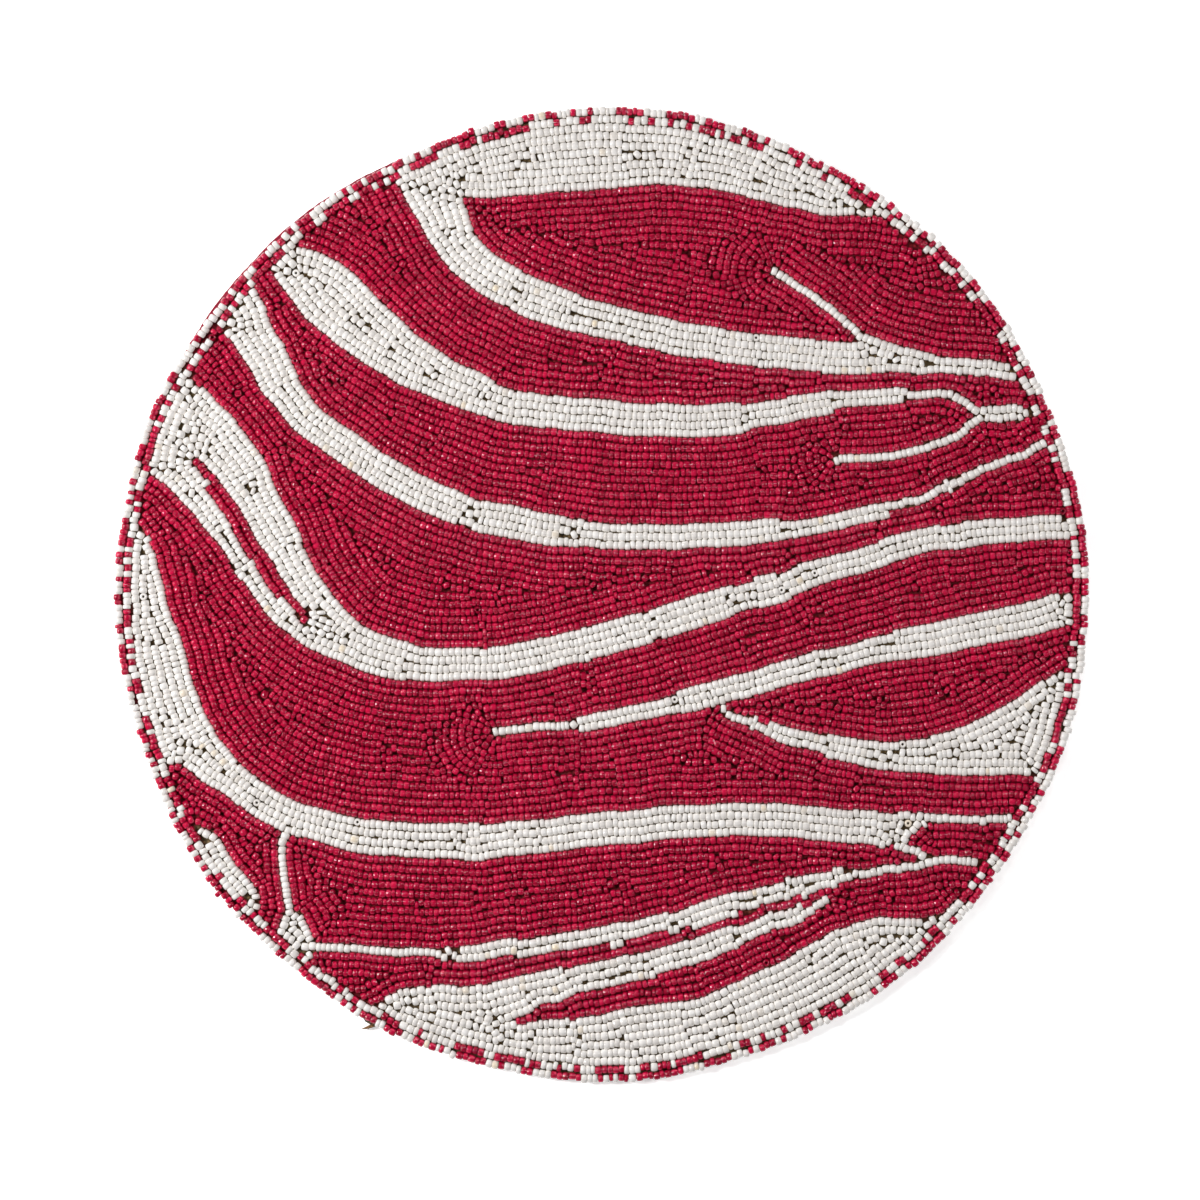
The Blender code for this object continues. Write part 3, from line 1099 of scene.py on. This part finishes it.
# Camera, light and floor
# Lens and sensor in mm, and in m what the frame shows across, its middle, and the beads' height
LENS = 85.0
SENSOR = 36.0
FRAME_WIDTH = 0.4694
FRAME_MIDDLE = (-0.0009, -0.0023)
FACE_HEIGHT = 0.005


def place_camera():
    """Straight above the mat, as far up as makes the frame show FRAME_WIDTH at the beads."""
    data = bpy.data.cameras.new("camera")
    data.lens = LENS
    data.sensor_width = SENSOR
    camera = add_object("camera", data)
    camera.location = (*FRAME_MIDDLE, FACE_HEIGHT + FRAME_WIDTH * LENS / SENSOR)
    bpy.context.scene.camera = camera


# Lamps: name, place in m, size in m, power in W
LAMPS = (
    ("key", (-0.85, 0.12, 0.75), 0.24, 14.3),
    ("right", (0.75, 0.10, 0.85), 0.18, 4.4),
    ("back", (-0.10, 0.75, 1.10), 0.18, 2.6),
)
WORLD_LIGHT = 0.06


def light_scene():
    for name, place, size, power in LAMPS:
        data = bpy.data.lights.new(name, "AREA")
        data.size = size
        data.energy = power
        lamp = add_object(name, data)
        lamp.location = place
        lamp.rotation_euler = (-Vector(place)).to_track_quat("-Z", "Y").to_euler()
    world = bpy.data.worlds.new("studio")
    world.use_nodes = True
    inputs = world.node_tree.nodes["Background"].inputs
    inputs["Color"].default_value = (1, 1, 1, 1)
    inputs["Strength"].default_value = WORLD_LIGHT
    bpy.context.scene.world = world
    bpy.context.scene.view_settings.view_transform = "Standard"


FLOOR_REACH = 3.0
# A hair under the felt, so that the two faces don't meet in one plane
FLOOR_HEIGHT = -0.0001


def lay_floor():
    """A pale floor with a glow, as a photographer's lit table has."""
    mesh = bpy.data.meshes.new("floor")
    ways = ((-1, -1), (1, -1), (1, 1), (-1, 1))
    corners = [(x * FLOOR_REACH, y * FLOOR_REACH, FLOOR_HEIGHT) for x, y in ways]
    mesh.from_pydata(corners, [], [(0, 1, 2, 3)])
    floor = add_object("floor", mesh)
    glow = {"Emission_Strength": 0.50, "Emission_Color": (1, 1, 1, 1)}
    finish = Finish("pale_floor", Roughness=0.8, Specular_IOR_Level=0.1, **glow)
    stops = ((0.3, (0.94, 0.94, 0.94)), (0.7, (0.97, 0.97, 0.97)))
    finish.to_shader("Base Color", finish.ramp(finish.noise(2.0), stops))
    mesh.materials.append(finish.material)


# The scene
place_camera()
light_scene()
lay_floor()

DICE = random.Random(7)
COLOURS = colour_field()
LAID = lay_beads(DICE, COLOURS)


def in_parts(beads, most):
    """Splits the beads into even parts of at most so many, from the far edge to the near one."""
    beads = sorted(beads, key=lambda bead: bead[1])
    parts = max(1, ceil(len(beads) / most))
    return [beads[n * len(beads) // parts : (n + 1) * len(beads) // parts] for n in range(parts)]


def pick_upright(beads, dice):
    """The beads that stand on end and show their hole: those named, and a few more at random."""
    chosen = set()
    for x, y in UPRIGHT:
        chosen.add(nearest(beads, x, y))
    for n, bead in enumerate(beads):
        if bead[6] == "field" and bead[3] > UPRIGHT_FROM_LENGTH and dice.random() < UPRIGHT_SHARE:
            chosen.add(n)
    return chosen


RED_STOPS = ((0.0, (0.25, 0.001, 0.018)), (0.5, (0.37, 0.0015, 0.029)), (1.0, (0.52, 0.004, 0.045)))
# The first stop is a rare cream bead
WHITE_STOPS = (
    (0.0, (0.60, 0.49, 0.35)),
    (0.014, (0.53, 0.495, 0.475)),
    (0.4, (0.59, 0.558, 0.542)),
    (1.0, (0.655, 0.63, 0.620)),
)
# Each glass has painted light on its flanks, painted shade at its ends and painted glints; the off-white
# also a painted glow
FINISHES = {
    "red": bead_finish(
        "red_glass", RED_STOPS, flank_light_colour=(0.37, 0.001, 0.025), end_shade_colour=(0.13, 0.001, 0.010),
        end_shade_share=0.5, painted_glint_colour=(0.90, 0.07, 0.16), painted_glint_share=0.75, rough=(0.03, 0.13), gloss=0.55,
        glow=0.0,
    ),
    "white": bead_finish(
        "white_glass", WHITE_STOPS, flank_light_colour=(0.88, 0.85, 0.81), end_shade_colour=(0.68, 0.63, 0.56),
        end_shade_share=0.25, painted_glint_colour=(0.88, 0.88, 0.88), painted_glint_share=0.3, rough=(0.10, 0.24), gloss=0.32,
        glow=0.11,
    ),
}


def put(piece, material, node):
    """Gives a piece its material, and its place in the frame."""
    piece.data.materials.append(material)
    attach(piece, "root")
    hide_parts(node)


UP = pick_upright(LAID, DICE)
# The most beads in one piece, for the sake of its triangle count
MOST_BEADS = 3500
for colour in ("red", "white"):
    mine = [(n, bead) for n, bead in enumerate(LAID) if bead[5] == colour]
    for row in ("field", "edge_row_inner", "edge_row_outer"):
        node = "bead_field" if row == "field" else row
        lying = [bead for n, bead in mine if bead[6] == row and n not in UP]
        for n, part in enumerate(in_parts(lying, MOST_BEADS)):
            template = FIELD_BEAD if row == "field" else RIM_BEAD
            piece = bead_piece(f"{colour}_{node}_{n + 1}", part, template, DICE)
            put(piece, FINISHES[colour], node)
    standing = [(*bead[:3], *UPRIGHT_SIZE, *bead[5:]) for n, bead in mine if n in UP]
    piece = bead_piece(f"{colour}_upright_beads", standing, OPEN_BEAD, DICE, upright=True)
    put(piece, FINISHES[colour], "bead_field")

felt = cloth_round(
    "felt_back", felt_radius, bottom=0.0, top=FELT_TOP, steps=540, rings=8, rises=False, fray=0.10, seed=3
)
put(felt, felt_finish(), "backing_cloth")
canvas = cloth_round(
    "canvas_ground", canvas_radius, bottom=FELT_TOP + 0.05, top=CANVAS_TOP, steps=360, rings=48, rises=True,
    fray=0.12, seed=4,
)
mark_painted_red_light(canvas, COLOURS)
put(canvas, canvas_finish(), "ground_cloth")
tuft = frayed_tuft("canvas_fray", count=26, sides=6, rings=7, seed=5)
put(tuft, fray_finish(), "ground_cloth")
